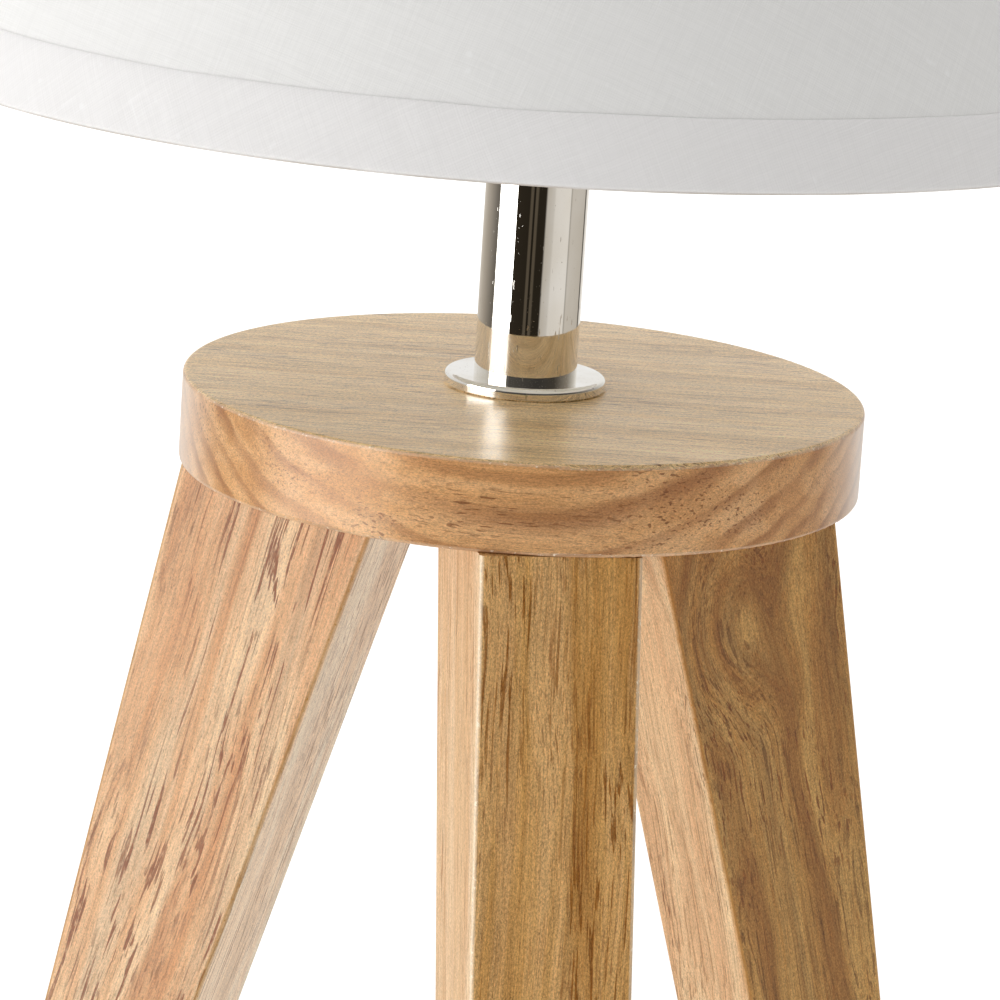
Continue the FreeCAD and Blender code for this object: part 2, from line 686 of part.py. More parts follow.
# --- Assembly -----------------------------------------------------------------------------------
def make_nodes():
    """Every node's shape, keyed by its name."""
    nodes = {
        "hub_disc": make_hub(),
        "hanger_bolts": make_hanger_bolts(),
        "threaded_inserts": make_threaded_inserts(),
        "foot_pads": make_foot_pads(),
        "base_flange": make_base_flange(),
        "stem_tube": make_stem_tube(),
        "threaded_pipe": make_threaded_pipe(),
        "pipe_washer": make_pipe_washer(),
        "lock_washer": make_lock_washer(),
        "pipe_nut": make_pipe_nut(),
        "cord_bush": make_cord_bush(),
        "holder_cap": make_holder_cap(),
        "holder_grub_screw": make_holder_grub_screw(),
        "holder_shell": make_holder_shell(),
        "holder_insert": make_holder_insert(),
        "contact_sleeve": make_contact_sleeve(),
        "centre_contact": make_centre_contact(),
        "terminal_screws": make_terminal_screws(),
        "shade_ring": make_shade_ring(),
        "bulb_cap": make_bulb_cap(),
        "bulb_insulator": make_bulb_insulator(),
        "bulb_contact": make_bulb_contact(),
        "bulb_housing": make_bulb_housing(),
        "bulb_led_board": make_bulb_led_board(),
        "bulb_globe": make_bulb_globe(),
        "shade_fabric": make_cone_wall(0, FABRIC_THICKNESS),
        "shade_liner": make_cone_wall(LINER_OFFSET, LINER_INNER_OFFSET),
        "lower_ring": make_wire_ring(lower_ring_height()),
        "upper_ring": make_wire_ring(upper_ring_height()),
        "lower_hem": make_lower_hem(),
        "upper_hem": make_hem(SHADE_TOP, upper_ring_height(), -1),
        "shade_seam": make_shade_seam(),
        "fitter_ring": make_fitter_ring(),
        "fitter_arms": make_fitter_arms(),
    }
    for leg in LEG_AZIMUTHS:
        nodes[leg] = make_leg(leg)
    return nodes


os.makedirs("parts", exist_ok=True)
for node_name, node_shape in make_nodes().items():
    node_shape.exportStep("parts/" + node_name + ".step")
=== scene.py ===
import math

import bmesh
import bpy
import numpy as np
from mathutils import Matrix, Vector


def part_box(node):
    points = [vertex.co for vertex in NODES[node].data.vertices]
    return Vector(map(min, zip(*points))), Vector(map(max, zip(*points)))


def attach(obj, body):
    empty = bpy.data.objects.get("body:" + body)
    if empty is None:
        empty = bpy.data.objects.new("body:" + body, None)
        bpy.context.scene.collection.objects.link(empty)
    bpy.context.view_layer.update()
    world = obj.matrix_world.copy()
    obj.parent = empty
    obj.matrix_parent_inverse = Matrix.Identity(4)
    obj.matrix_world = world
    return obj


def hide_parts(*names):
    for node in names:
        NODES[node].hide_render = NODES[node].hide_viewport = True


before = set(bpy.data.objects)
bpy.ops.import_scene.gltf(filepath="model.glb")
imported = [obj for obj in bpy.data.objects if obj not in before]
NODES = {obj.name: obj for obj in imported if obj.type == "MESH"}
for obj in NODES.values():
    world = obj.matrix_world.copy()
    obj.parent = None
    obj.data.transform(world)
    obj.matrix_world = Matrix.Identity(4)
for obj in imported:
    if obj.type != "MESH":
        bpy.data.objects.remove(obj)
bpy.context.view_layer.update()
RANDOM = np.random.default_rng(7)

# --- Sizes, in metres ------------------------------------------------------------------------------
MM = 0.001
LEGS = ["leg_front", "leg_left", "leg_right"]
LEG_SIDE_REACH = 12 * MM  # from the middle of a leg to its side
ARM_ANGLES = [math.radians(azimuth) for azimuth in (60, 180, 300)]  # the fitter's arms, round the shade
FABRIC_LEAN = math.radians(22)  # the weave's turn on the cover's flat cut
CONE_STRETCH = 1.054  # distance along the shade's slope for each unit of height
fabric_low, fabric_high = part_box("shade_fabric")
SHADE_BOTTOM = fabric_low.z
SHADE_TOP = fabric_high.z
SHADE_BOTTOM_RADIUS = fabric_high.x

# --- Camera: the photograph's viewing angle ---------------------------------------------------------
CAMERA_PLACE = Vector((-0.08512, -0.82368, 0.38777))
CAMERA_AIM = Vector((-0.00259, 0.00026, 0.18635))
CAMERA_ROLL = math.radians(3.765)
CAMERA_LENS = 196.5
CAMERA_AZIMUTH = math.atan2(CAMERA_PLACE.x, -CAMERA_PLACE.y)

# --- Room -------------------------------------------------------------------------------------------
FLOOR_REACH = 8.0
FLOOR_GLOW = 0.18
HORIZON_SPAN = (-0.08, 0.02)  # where the low ring of light gives way to the high one, as a direction's Z
CEILING_SPAN = (0.25, 0.75)  # where the high ring gives way to the ceiling


def mesh_points(node):
    """A CAD node's vertices, in metres."""
    data = NODES[node].data
    points = np.empty(len(data.vertices) * 3)
    data.vertices.foreach_get("co", points)
    return points.reshape(-1, 3)


fabric_points = mesh_points("shade_fabric")
top_rim = fabric_points[fabric_points[:, 2] > SHADE_TOP - 0.1 * MM]
SHADE_TOP_RADIUS = np.hypot(top_rim[:, 0], top_rim[:, 1]).max()
SHADE_SLOPE = (SHADE_BOTTOM_RADIUS - SHADE_TOP_RADIUS) / (SHADE_TOP - SHADE_BOTTOM)
CONE_SINE = math.sin(math.atan(SHADE_SLOPE))


# --- Colours and node helpers -----------------------------------------------------------------------
def colour(code):
    """A linear RGBA colour from an sRGB hex code."""
    levels = [int(code[i:i + 2], 16) / 255 for i in (0, 2, 4)]
    linear = [v / 12.92 if v <= 0.04045 else ((v + 0.055) / 1.055) ** 2.4 for v in levels]
    return (*linear, 1.0)


class Shading:
    """Builds one material. A method that adds a node returns its output socket."""

    def __init__(self, name, **constants):
        self.material = bpy.data.materials.new(name)
        self.material.use_nodes = True
        self.tree = self.material.node_tree
        self.shader = self.tree.nodes["Principled BSDF"]
        for socket, value in constants.items():
            self.shader.inputs[socket.replace("_", " ")].default_value = value

    def node(self, kind, inputs=None, output=0, **settings):
        node = self.tree.nodes.new(kind)
        for key, value in settings.items():
            setattr(node, key, value)
        for key, value in (inputs or {}).items():
            self.feed(node.inputs[key], value)
        return node.outputs[output]

    def feed(self, socket, value):
        if isinstance(value, bpy.types.NodeSocket):
            self.tree.links.new(value, socket)
        else:
            socket.default_value = value

    def out(self, socket, value):
        """Feeds one of the shader's own sockets."""
        self.feed(self.shader.inputs[socket], value)

    def math(self, operation, a, b=0.0, clamp=False):
        return self.node("ShaderNodeMath", {0: a, 1: b}, operation=operation, use_clamp=clamp)

    def place(self):
        return self.node("ShaderNodeTexCoord", output="Object")

    def facing(self):
        """The surface's normal in the object's own axes."""
        return self.node("ShaderNodeTexCoord", output="Normal")

    def map(self, vector, scale, offset=(0, 0, 0), turn=(0, 0, 0)):
        inputs = {"Vector": vector, "Location": offset, "Rotation": turn, "Scale": scale}
        return self.node("ShaderNodeMapping", inputs)

    def place_mm(self, offset=(0, 0, 0), turn=(0, 0, 0)):
        """The place in the object's own axes, or in turned ones, in millimetres."""
        return self.map(self.place(), (1000, 1000, 1000), offset, turn)

    def split(self, vector):
        node = self.tree.nodes.new("ShaderNodeSeparateXYZ")
        self.feed(node.inputs[0], vector)
        return node.outputs["X"], node.outputs["Y"], node.outputs["Z"]

    def join(self, x, y, z):
        return self.node("ShaderNodeCombineXYZ", {0: x, 1: y, 2: z})

    def noise(self, vector, scale=1.0, detail=2.0, roughness=0.5, distortion=0.0):
        inputs = {
            "Vector": vector, "Scale": scale, "Detail": detail,
            "Roughness": roughness, "Distortion": distortion,
        }
        return self.node("ShaderNodeTexNoise", inputs)

    def smooth(self, value, low, high, to_low=0.0, to_high=1.0):
        inputs = {0: value, 1: low, 2: high, 3: to_low, 4: to_high}
        return self.node("ShaderNodeMapRange", inputs, interpolation_type="SMOOTHSTEP")

    def ramp(self, value, stops):
        """A colour ramp. stops is a list of (position, colour)."""
        node = self.tree.nodes.new("ShaderNodeValToRGB")
        self.feed(node.inputs[0], value)
        elements = node.color_ramp.elements
        while len(elements) < len(stops):
            elements.new(1.0)
        for element, (position, shade) in zip(elements, stops):
            element.position = position
            element.color = shade
        return node.outputs[0]

    def mix(self, share, a, b, blend="MIX"):
        node = self.tree.nodes.new("ShaderNodeMix")
        node.data_type = "RGBA"
        node.blend_type = blend
        self.feed(node.inputs["Factor"], share)
        self.feed(node.inputs[6], a)
        self.feed(node.inputs[7], b)
        return node.outputs[2]

    def bump(self, height, distance, strength=1.0, below=None):
        inputs = {"Height": height, "Distance": distance, "Strength": strength}
        if below is not None:
            inputs["Normal"] = below
        return self.node("ShaderNodeBump", inputs)


def turned_frame(grain, ring_normal):
    """Euler angles that turn object axes into board axes: X along the grain, Z across the rings."""
    along = Vector(grain).normalized()
    across = Vector(ring_normal)
    across = (across - along * across.dot(along)).normalized()
    side = across.cross(along)
    return Matrix((along, side, across)).to_euler()


# --- Wood -------------------------------------------------------------------------------------------
SHORT_LINE_COLOUR = "7a4318"
PORE_COLOUR, PORE_SHARE = "6e3f1c", 0.45
HAIR_COLOUR, HAIR_SHARE = "9c6028", 0.34
# Painted sheen: the pale colour laid on upright faces seen edge on
PAINTED_SHEEN_COLOUR = "fff4ea"
GRIT_SWING, FIBRE_SWING, PATCH_SWING = 2.0, 1.0, 0.25  # how far each noise moves the wood's lightness


def wood(
    name, grain, ring_normal, seed, looks, ring_gap, warp, long_share, short_share, edge,
    painted_sheen=0.0, swirl=None, varnish_weight=0.55, varnish_roughness=0.25,
):
    """Varnished rubberwood as a solid texture: rings, fibres, vessel streaks, pores and arrises tinted as
    wear and as a painted highlight.

    looks lists the faces' colours as (mask maker, (pale, middle, deep, streak), ring depth,
    liveliness). The first has no mask and covers everything; the masked ones paint the light and shade
    that faces turned their way receive. edge is (mask maker, colour, share).
    glance is how far upright surfaces are painted paler where they are seen edge on: a painted
    sheen of the varnish. swirl is (centre, reach along each board axis in mm, rise in mm). Ring gap and
    warp are in millimetres.
    """
    s = Shading(
        name, Specular_IOR_Level=0.15, Coat_Weight=varnish_weight, Coat_Roughness=varnish_roughness,
        Coat_IOR=1.5,
    )
    turn = turned_frame(grain, ring_normal)
    shift = (seed * 37.1, seed * 11.3, seed * 5.7)
    board = s.place_mm(shift, turn)

    drift = s.noise(s.map(board, (0.010, 0.035, 0.035)), 1.0, 2.0, 0.5)
    fine_drift = s.noise(s.map(board, (0.05, 0.25, 0.25), (9, 4, 0)), 1.0, 1.0)
    bend = s.math("MULTIPLY", s.math("SUBTRACT", drift, 0.5), warp * 2)
    wobble = s.math("MULTIPLY", s.math("SUBTRACT", fine_drift, 0.5), 0.9)
    u, v, w = s.split(board)
    w = s.math("ADD", s.math("ADD", w, bend), wobble)
    v = s.math("ADD", v, s.math("MULTIPLY", bend, 0.4))
    if swirl:
        centre, reach, rise = swirl
        middle = turn.to_matrix() @ (centre / MM) + Vector(shift)
        near = s.map(board, [1 / part for part in reach], [-at / part for at, part in zip(middle, reach)])
        near = s.node("ShaderNodeVectorMath", {0: near}, "Value", operation="LENGTH")
        w = s.math("ADD", w, s.smooth(near, 0.0, 1.0, rise, 0.0))
    bent = s.join(u, v, w)

    # Growth rings: soft darker bands, uneven in width and strength
    pace = s.noise(s.join(0.0, 0.0, s.math("MULTIPLY", w, 0.3 / ring_gap)), 1.0, 1.0)
    phase = s.math("ADD", s.math("DIVIDE", w, ring_gap), s.math("MULTIPLY", pace, 2.0))
    ring = s.math("FRACT", phase)
    late = s.math("MULTIPLY", s.smooth(ring, 0.30, 0.82), s.smooth(ring, 0.84, 1.0, 1.0, 0.0))
    patchy = s.smooth(s.noise(s.map(bent, (0.02, 0.07, 0.16)), 1.0, 2.0), 0.35, 0.65, 0.35, 1.0)
    late = s.math("MULTIPLY", late, patchy)

    band = s.smooth(s.noise(s.map(bent, (0.005, 0.17, 0.22)), 1.0, 3.0, 0.55), 0.34, 0.66)
    fibre = s.noise(s.map(bent, (0.035, 3.0, 3.0)), 1.0, 3.0, 0.6)
    grit = s.noise(s.map(board, (2.4, 4.6, 4.6)), 1.0, 2.0, 0.8)
    hair = s.noise(s.map(bent, (0.09, 4.4, 4.4), (3, 3, 0)), 1.0, 1.0, 0.5)
    hair = s.smooth(hair, 0.55, 0.64)
    patch = s.noise(s.map(board, (0.04, 0.12, 0.12), (7, 7, 7)), 1.0, 2.0)
    cluster = s.smooth(s.noise(s.map(bent, (0.014, 0.13, 0.17), (0, 7.7, 0)), 1.0, 2.0), 0.36, 0.6)
    long_line = s.noise(s.map(bent, (0.030, 1.9, 1.9), (0, 0, 4.4)), 1.0, 1.5, 0.4)
    long_line = s.math("MULTIPLY", s.smooth(long_line, 0.572, 0.618), cluster)
    ragged = s.noise(s.map(bent, (0.5, 3.0, 3.0), (2, 0, 0)), 1.0, 2.0)
    long_line = s.math("MULTIPLY", long_line, s.smooth(ragged, 0.26, 0.52, 0.35, 1.0))
    short_line = s.noise(s.map(bent, (0.17, 2.4, 2.4), (5.5, 0, 0)), 1.0, 1.0, 0.4)
    gathered = s.smooth(s.noise(s.map(bent, (0.03, 0.09, 0.09), (0, 2.2, 6)), 1.0, 1.0), 0.35, 0.65)
    short_line = s.math("MULTIPLY", s.smooth(short_line, 0.625, 0.67), gathered)
    pore = s.noise(s.map(bent, (0.75, 4.6, 4.6), (1.5, 3, 0)), 1.0, 1.0, 0.4)
    pore = s.smooth(pore, 0.67, 0.75)

    base = None
    main_liveliness = looks[0][3]
    lively_share = main_liveliness
    for mask, (pale, middle, deep, streak), ring_depth, liveliness in looks:
        face = s.ramp(band, [(0.0, colour(pale)), (0.5, colour(middle)), (1.0, colour(deep))])
        face = s.mix(s.math("MULTIPLY", late, ring_depth), face, colour(streak))
        face = s.mix(s.math("MULTIPLY", long_line, long_share), face, colour(streak))
        if mask is None:
            base = face
        else:
            covered = mask(s)
            base = s.mix(covered, base, face)
            change = s.math("MULTIPLY", covered, liveliness - main_liveliness)
            lively_share = s.math("ADD", lively_share, change)
    base = s.mix(s.math("MULTIPLY", short_line, short_share), base, colour(SHORT_LINE_COLOUR))
    base = s.mix(s.math("MULTIPLY", pore, PORE_SHARE), base, colour(PORE_COLOUR))
    hair_share = s.math("MULTIPLY", s.math("MULTIPLY", hair, HAIR_SHARE), lively_share)
    base = s.mix(hair_share, base, colour(HAIR_COLOUR))
    uneven = s.math("MULTIPLY", s.math("SUBTRACT", grit, 0.5), GRIT_SWING)
    uneven = s.math("ADD", uneven, s.math("MULTIPLY", s.math("SUBTRACT", fibre, 0.5), FIBRE_SWING))
    uneven = s.math("ADD", uneven, s.math("MULTIPLY", s.math("SUBTRACT", patch, 0.5), PATCH_SWING))
    level = s.math("ADD", 1.0, s.math("MULTIPLY", uneven, lively_share))
    base = s.mix(1.0, base, level, "MULTIPLY")

    # Arrises: chips are wear; the even tint along every arris is a painted highlight, and a painted dark
    # line where its colour is darker than the face.
    edge_mask, edge_colour, edge_share = edge
    arris = edge_mask(s)
    chip = s.smooth(s.noise(s.map(board, (1.1, 1.6, 1.6)), 1.0, 3.0, 0.7), 0.60, 0.66)
    chip_and_highlight = s.math("ADD", s.math("MULTIPLY", chip, 0.8), edge_share)
    worn_and_lit_arris = s.math("MULTIPLY", arris, chip_and_highlight, clamp=True)
    base = s.mix(worn_and_lit_arris, base, colour(edge_colour))
    # Painted sheen: upright faces seen edge on are painted paler, for the varnish's glancing reflection.
    if painted_sheen:
        edge_on = s.smooth(s.node("ShaderNodeLayerWeight", {"Blend": 0.5}, "Facing"), 0.48, 0.92)
        upright = s.smooth(s.math("ABSOLUTE", s.split(s.facing())[2]), 0.1, 0.5, 1.0, 0.0)
        sheen_share = s.math("MULTIPLY", s.math("MULTIPLY", edge_on, upright), painted_sheen)
        base = s.mix(sheen_share, base, colour(PAINTED_SHEEN_COLOUR))
    s.out("Base Color", base)

    cloud = s.noise(s.map(board, (0.05, 0.4, 0.4)), 1.0, 3.0)
    matt = s.smooth(cloud, 0.3, 0.7, 0.42, 0.56)
    s.out("Roughness", s.math("ADD", matt, s.math("MULTIPLY", pore, 0.2)))
    dents = s.math("ADD", s.math("MULTIPLY", pore, 0.6), s.math("MULTIPLY", short_line, 0.5))
    relief = s.math("SUBTRACT", s.math("MULTIPLY", fibre, 0.5), dents)
    s.out("Normal", s.bump(relief, 0.00005, 0.6))
    varnish = s.math("ADD", s.math("MULTIPLY", fibre, 0.6), s.math("MULTIPLY", grit, 0.5))
    s.out("Coat Normal", s.bump(varnish, 0.00002, 0.7))
    return s.material


def faces_along(direction, low=0.5, high=0.8):
    """A mask maker: 1 where a face looks along a direction."""
    def mask(s):
        inputs = {0: s.facing(), 1: tuple(Vector(direction).normalized())}
        dot = s.node("ShaderNodeVectorMath", inputs, "Value", operation="DOT_PRODUCT")
        return s.smooth(dot, low, high)
    return mask


def hub_arris(s):
    """1 on the rounded rims between the hub's faces and its side."""
    up = s.math("ABSOLUTE", s.split(s.facing())[2])
    slope = s.math("MULTIPLY", up, s.math("SUBTRACT", 1.0, up))
    return s.smooth(slope, 0.12, 0.24)


def leg_arris(turn):
    """A mask maker: 1 where the normal lies between two of the leg's flat sides."""
    def mask(s):
        normal = s.split(s.map(s.facing(), (1, 1, 1), turn=turn))
        across = [s.math("ABSOLUTE", part) for part in normal]
        return s.smooth(s.math("MULTIPLY", across[1], across[2]), 0.12, 0.42)
    return mask


def leg_direction(name):
    """(unit vector down the leg, unit vector across its width, centre of its foot)."""
    points = mesh_points(name)
    high = points[points[:, 2] > points[:, 2].max() - MM].mean(axis=0)
    low = points[points[:, 2] < points[:, 2].min() + MM].mean(axis=0)
    down = Vector(low - high).normalized()
    across = Vector((0, 0, 1)).cross(down).normalized()
    return down, across, Vector(low)


def leg_side_point(name, height, inward):
    """A point on a leg's clockwise side at a height, inward from the side's middle."""
    down, across, foot = leg_direction(name)
    middle = foot + down * ((height - foot.z) / down.z)
    outward = Vector((middle.x, middle.y, 0)).normalized()
    return middle - across * LEG_SIDE_REACH - outward * inward


def dress(node, material):
    """Gives a carried-over CAD node its material."""
    slots = NODES[node].data.materials
    slots.clear()
    slots.append(material)


# Each leg's board. The main palette colours its outer and side faces, and the second palette the faces
# that look toward (x, y), paler as painted light. Both palettes are set leg by leg and also carry painted
# light and shade on the faces they cover. worn is the arrises' (colour, share): partly wear, partly a
# painted highlight or dark line along the rounded edge. swirl is (height, distance in from the side's
# middle, reach along each board axis in mm, rise in mm).
LEG_BOARDS = {
    "leg_front": {
        "main": ("deb074", "cf9e5c", "c28e4a", "88500f"),
        "painted_lit_faces": ("f6d8b0", "f0cca0", "e8c192", "c08a58"), "toward": (-1, 0),
        "long_share": 0.90, "short_share": 0.45, "seed": 2, "worn_and_lit_arris": ("f6e4c6", 0.45),
        "warp": 7.0, "liveliness": 1.0,
    },
    "leg_left": {
        "main": ("f3d5ab", "e6ba8c", "d29a6a", "803c06"),
        "painted_lit_faces": ("fff2d8", "ffe9ca", "fae0be", "b08a62"), "toward": (1, -0.5),
        "long_share": 0.92, "short_share": 0.60, "seed": 5, "worn_and_lit_arris": ("c0924e", 0.50),
        "warp": 7.0, "liveliness": 0.72,
    },
    "leg_right": {
        "main": ("c89d5a", "ba8a48", "a8763a", "5f3410"),
        "painted_lit_faces": ("fadcae", "f3ce9f", "e9be8f", "a8703f"), "toward": (-1, -0.5),
        "long_share": 0.60, "short_share": 0.80, "seed": 9, "worn_and_lit_arris": ("cc9450", 0.50),
        "warp": 14.0, "liveliness": 1.0, "swirl": (0.166, 7 * MM, (26, 17, 17), 11.0),
    },
}


def make_wood():
    right = Vector((math.cos(CAMERA_AZIMUTH), math.sin(CAMERA_AZIMUTH), 0))
    back = Vector((-right.y, right.x, 0))
    tilt = math.radians(36)
    normal = -back * math.sin(tilt) + Vector((0, 0, 1)) * math.cos(tilt)
    side_look = (None, ("e2b07a", "daa56c", "cd955b", "935726"), 0.72, 0.70)
    # The hub top's paler palette is painted light: the light and varnish reflection that the top gets.
    lit_top_look = (faces_along((0, 0, 1)), ("fcdba6", "f6d39b", "eec98f", "9a7244"), 0.08, 1.2)
    hub = wood(
        "hub_rubberwood", right, normal, 1, [side_look, lit_top_look], ring_gap=4.2, warp=3.0,
        long_share=0.22, short_share=0.80, edge=(hub_arris, "f6e4cc", 0.22), painted_sheen=0.6,
        varnish_weight=0.70, varnish_roughness=0.30,
    )
    dress("hub_disc", hub)
    for leg, board in LEG_BOARDS.items():
        down, across, _ = leg_direction(leg)
        face = down.cross(across)
        swirl = None
        if "swirl" in board:
            height, inward, reach, rise = board["swirl"]
            swirl = (leg_side_point(leg, height, inward), reach, rise)
        main = (None, board["main"], 0.3, board["liveliness"])
        # The paler palette on faces looking toward (x, y) is painted light: the light those faces get.
        painted_lit_faces = (faces_along((*board["toward"], 0)), board["painted_lit_faces"], 0.2, 0.75)
        material = wood(
            leg + "_rubberwood", down, across * 0.55 + face, board["seed"], [main, painted_lit_faces],
            ring_gap=6.5, warp=board["warp"],
            long_share=board["long_share"], short_share=board["short_share"],
            edge=(leg_arris(turned_frame(down, face)), *board["worn_and_lit_arris"]), swirl=swirl,
        )
        dress(leg, material)


# --- Metals and plastics ----------------------------------------------------------------------------
def chrome():
    """Bright plating with a faint haze, fine scratches and a few pits."""
    s = Shading("bright_chrome", Metallic=1.0)
    place = s.place_mm()
    haze = s.noise(s.map(place, (0.15, 0.15, 0.08)), 1.0, 3.0)
    pit = s.smooth(s.noise(s.map(place, (3.2, 3.2, 2.4), (5, 0, 0)), 1.0, 2.0, 0.7), 0.71, 0.76)
    scratch = s.noise(s.map(place, (2.5, 2.5, 0.35), (0, 3, 0), (0.3, 0.2, 0)), 1.0, 1.0)
    scratch = s.smooth(scratch, 0.72, 0.76)
    marks = s.math("MAXIMUM", pit, scratch)
    base = s.mix(s.smooth(haze, 0.3, 0.7), colour("f4f1eb"), colour("ebe6dc"))
    s.out("Base Color", s.mix(s.math("MULTIPLY", marks, 0.45), base, colour("7c6f60")))
    polish = s.smooth(haze, 0.3, 0.7, 0.012, 0.03)
    s.out("Roughness", s.math("ADD", polish, s.math("MULTIPLY", marks, 0.25)))
    waves = s.noise(s.map(place, (0.6, 0.6, 0.25)), 1.0, 2.0)
    faint = s.bump(waves, 0.000004, 0.5)
    s.out("Normal", s.bump(marks, 0.00001, 0.5, below=faint))
    return s.material


def plated_steel(name, light, shade, roughness):
    """Plated or plain small metal parts: a cloudy tone and faint brushing."""
    s = Shading(name, Metallic=1.0)
    place = s.place_mm()
    cloud = s.noise(s.map(place, (0.3, 0.3, 0.3)), 1.0, 4.0, 0.6)
    s.out("Base Color", s.mix(s.smooth(cloud, 0.35, 0.65), colour(light), colour(shade)))
    s.out("Roughness", s.smooth(cloud, 0.3, 0.7, roughness, roughness + 0.12))
    brushed = s.noise(s.map(place, (1.0, 1.0, 14.0)), 1.0, 3.0)
    s.out("Normal", s.bump(brushed, 0.00001, 0.4))
    return s.material


def moulded(name, light, shade, roughness, grain=6.0, coat=0.0):
    """Moulded plastic, ceramic or powder coat: faint mottling and an orange-peel surface."""
    s = Shading(name, Coat_Weight=coat, Coat_Roughness=0.15)
    place = s.place_mm()
    cloud = s.noise(s.map(place, (0.08, 0.08, 0.08)), 1.0, 4.0, 0.6)
    s.out("Base Color", s.mix(s.smooth(cloud, 0.3, 0.7), colour(light), colour(shade)))
    peel = s.noise(s.map(place, (grain, grain, grain)), 1.0, 2.0)
    s.out("Roughness", s.smooth(peel, 0.3, 0.7, roughness, roughness + 0.1))
    s.out("Normal", s.bump(peel, 0.00002, 0.3))
    return s.material


def opal():
    """The bulb's white glass, kept opaque because the lamp is off."""
    s = Shading("opal_globe", Coat_Weight=0.6, Coat_Roughness=0.08, IOR=1.5)
    place = s.place_mm()
    cloud = s.noise(s.map(place, (0.05, 0.05, 0.05)), 1.0, 3.0)
    s.out("Base Color", s.mix(s.smooth(cloud, 0.3, 0.7), colour("f7f5ef"), colour("efece3")))
    s.out("Roughness", s.smooth(cloud, 0.3, 0.7, 0.25, 0.33))
    return s.material


def dress_hard_parts():
    shiny = chrome()
    zinc = plated_steel("zinc_steel", "b9bdc0", "a2a5a6", 0.3)
    brass = plated_steel("plain_brass", "d2b066", "b8924a", 0.28)
    nickel = plated_steel("nickel_plate", "cfc9bf", "b9b2a6", 0.22)
    white = moulded("white_thermoplastic", "efeee9", "e6e4dd", 0.32, coat=0.2)
    ceramic = moulded("white_ceramic", "ece8de", "ddd8cb", 0.45, grain=3.0)
    black = moulded("black_vitrite", "17171a", "0f0f12", 0.12, coat=0.4)
    board = moulded("led_board", "efefe8", "e2e2d8", 0.4)
    powder = moulded("white_powder_coat", "efefec", "e4e4e0", 0.38, grain=4.0)
    liner = moulded("shade_liner_plastic", "f3f2ee", "ebeae4", 0.42, grain=1.5)
    choices = {
        shiny: ["base_flange", "stem_tube"],
        zinc: ["hanger_bolts", "threaded_inserts", "threaded_pipe", "pipe_washer", "lock_washer",
               "holder_grub_screw"],
        brass: ["pipe_nut", "contact_sleeve", "centre_contact", "terminal_screws"],
        nickel: ["bulb_cap", "bulb_contact"],
        white: ["cord_bush", "holder_cap", "holder_shell", "shade_ring", "bulb_housing"],
        ceramic: ["holder_insert"],
        black: ["bulb_insulator"],
        board: ["bulb_led_board"],
        powder: ["lower_ring", "upper_ring", "fitter_ring", "fitter_arms"],
        liner: ["shade_liner"],
        opal(): ["bulb_globe"],
    }
    for material, nodes in choices.items():
        for node in nodes:
            dress(node, material)


# --- Cloth ------------------------------------------------------------------------------------------
def shade_radius(height):
    """Radius of the shade's outer surface at a height."""
    return SHADE_BOTTOM_RADIUS - SHADE_SLOPE * (height - SHADE_BOTTOM)


def ripple(angle, height, seed, waves=9, coarse=40):
    """A smooth random wave round the shade, about -1 to 1, that closes on itself."""
    random = np.random.default_rng(seed)
    total = np.zeros(np.broadcast(angle, height).shape)
    for _ in range(waves):
        turns = random.integers(2, coarse)
        rise = random.uniform(-900, 900)
        total += np.sin(turns * angle + rise * height + random.uniform(0, 2 * math.pi))
    return total / math.sqrt(waves)


def mesh_object(name, points, faces, material, body):
    data = bpy.data.meshes.new(name)
    data.from_pydata(points.tolist(), [], faces.tolist())
    data.polygons.foreach_set("use_smooth", np.ones(len(faces), bool))
    data.materials.append(material)
    data.update()
    piece = bpy.data.objects.new(name, data)
    bpy.context.collection.objects.link(piece)
    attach(piece, body)
    return piece


def grid_faces(columns, rows, closed_columns=True):
    """Quads over a grid of columns round the shade and rows round a closed profile."""
    column = np.arange(columns if closed_columns else columns - 1)[:, None]
    row = np.arange(rows)[None, :]
    after = (column + 1) % columns
    above = (row + 1) % rows
    corners = [column * rows + row, after * rows + row, after * rows + above, column * rows + above]
    return np.stack([np.broadcast_to(c, (len(column), rows)) for c in corners], -1).reshape(-1, 4)


def weave_places(piece, columns, rows, angles, slants, lean):
    """Stores each corner's place on the flat cut, in millimetres, for the weave to follow."""
    column = np.arange(columns)[:, None, None] + np.array([0, 1, 1, 0])[None, None, :]
    row = (np.arange(rows)[None, :, None] + np.array([0, 0, 1, 1])[None, None, :]) % rows
    step = angles[1] - angles[0]
    turn = (angles[0] + column * step + math.pi / 2) * CONE_SINE + lean
    slant = slants[row]
    place = np.stack([slant * np.sin(turn), slant * np.cos(turn), np.zeros_like(turn * slant)], -1)
    attribute = piece.data.attributes.new("weave", "FLOAT_VECTOR", "CORNER")
    attribute.data.foreach_set("vector", (place / MM).astype(np.float32).ravel())


def cloth_ring(name, radius, height, slants, lean, material, columns=720):
    """A closed ring of cloth. radius and height take the angles and give one value per profile point."""
    angles = -math.pi * 1.5 + np.arange(columns) * (2 * math.pi / columns)
    around = angles[:, None]
    r = radius(around)
    z = height(around)
    points = np.stack([r * np.cos(around), r * np.sin(around), z], -1).reshape(-1, 3)
    rows = r.shape[1]
    piece = mesh_object(name, points, grid_faces(columns, rows), material, "shade")
    weave_places(piece, columns, rows, angles, slants, lean)
    return piece


# Painted shade along the folded rims of the tape
FOLD_SHADE_COLOUR = "94826a"
# Painted shade in the gaps between the threads
GAP_SHADE_COLOUR = "8f8b86"


